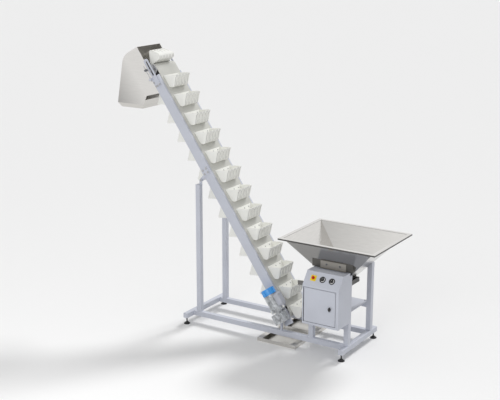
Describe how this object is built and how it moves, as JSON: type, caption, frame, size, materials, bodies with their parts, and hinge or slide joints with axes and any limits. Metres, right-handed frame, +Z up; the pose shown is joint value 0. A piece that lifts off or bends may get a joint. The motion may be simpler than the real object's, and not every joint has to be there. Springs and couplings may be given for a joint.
{
  "type": "inclined bucket belt elevator with a feed hopper",
  "caption": "Steep inclined belt with bolted plastic buckets, stainless discharge hood, feed hopper on a stand with a control cabinet, gearmotor and drip trays.",
  "frame": {"origin": "middle of the whole machine's footprint, at the floor", "axes": "+X along the base from the discharge hood to the hopper, +Y to the rear, away from the control cabinet's door, +Z up"},
  "size_m": [3.6004, 1.0668, 3.2411],
  "materials": {
    "frame_paint": "satin powder coat",
    "plated_steel": "zinc plated",
    "stainless": "brushed",
    "cast_aluminium": "cast",
    "cast_iron": "painted",
    "belt": "smooth matt",
    "bucket_plastic": "moulded",
    "blue_plastic": "moulded",
    "black_plastic": "moulded",
    "yellow_plastic": "moulded",
    "red_plastic": "moulded"
  },
  "bodies": {
    "machine": {"base_rails": "frame_paint", "cross_beams": "frame_paint", "levelling_feet": "black_plastic", "tall_posts": "frame_paint", "pivot_pins": "plated_steel", "hinge_brackets": "frame_paint", "stand_posts": "frame_paint", "stand_top_beams": "frame_paint", "shelf_beams": "frame_paint", "shelf_plate": "frame_paint", "conveyor_side_plates": "frame_paint", "slider_bed": "stainless", "conveyor_cross_ties": "frame_paint", "head_drum": "plated_steel", "tail_drum": "plated_steel", "take_up_plates": "frame_paint", "take_up_screws": "plated_steel", "belt": "belt", "head_bucket": "bucket_plastic", "carrying_buckets_upper": "bucket_plastic", "carrying_buckets_lower": "bucket_plastic", "return_buckets": "bucket_plastic", "hood_shell": "stainless", "hood_sides": "stainless", "hood_spout": "stainless", "gearbox": "cast_aluminium", "motor_body": "cast_aluminium", "motor_fan_cover": "blue_plastic", "motor_terminal_box": "cast_aluminium", "torque_bar": "frame_paint", "tail_support": "frame_paint", "tail_bearing": "cast_iron", "drip_trays": "stainless", "hopper_shell": "stainless", "hopper_rim": "stainless", "hopper_stiffener": "stainless", "hopper_mounting_plate": "stainless", "feeder_pan": "stainless", "feeder_drive": "cast_iron", "cabinet_side_panels": "frame_paint", "cabinet_floor": "frame_paint", "cabinet_back_panel": "frame_paint", "cabinet_roof": "frame_paint", "control_panel": "frame_paint", "cabinet_front_frame": "frame_paint", "door_hinge_pins": "plated_steel", "main_switch_plate": "yellow_plastic", "dial_bezels": "black_plastic"},
    "door": {"cabinet_door": "frame_paint"},
    "latch": {"door_latch": "black_plastic"},
    "switch_knob": {"main_switch_knob": "red_plastic"},
    "left_knob": {"left_speed_knob": "black_plastic"},
    "right_knob": {"right_speed_knob": "black_plastic"}
  },
  "joints": [
    {"name": "cabinet_door_hinge", "type": "hinge", "parent": "machine", "child": "door", "pos_m": [1.01416, -0.5081, 0.638], "axis": [0, 0, -1], "range_deg": [0, 110]},
    {"name": "door_latch_turn", "type": "hinge", "parent": "door", "child": "latch", "pos_m": [1.33116, -0.5131, 0.637], "axis": [0, 1, 0], "range_deg": [0, 90]},
    {"name": "main_switch_turn", "type": "hinge", "parent": "machine", "child": "switch_knob", "pos_m": [1.09416, -0.45527, 0.93274], "axis": [0, -0.7909, 0.6119], "range_deg": [0, 90]},
    {"name": "left_speed_turn", "type": "hinge", "parent": "machine", "child": "left_knob", "pos_m": [1.20716, -0.45527, 0.93274], "axis": [0, -0.7909, 0.6119], "range_deg": [-135, 135]},
    {"name": "right_speed_turn", "type": "hinge", "parent": "machine", "child": "right_knob", "pos_m": [1.32016, -0.45527, 0.93274], "axis": [0, -0.7909, 0.6119], "range_deg": [-135, 135]}
  ]
}
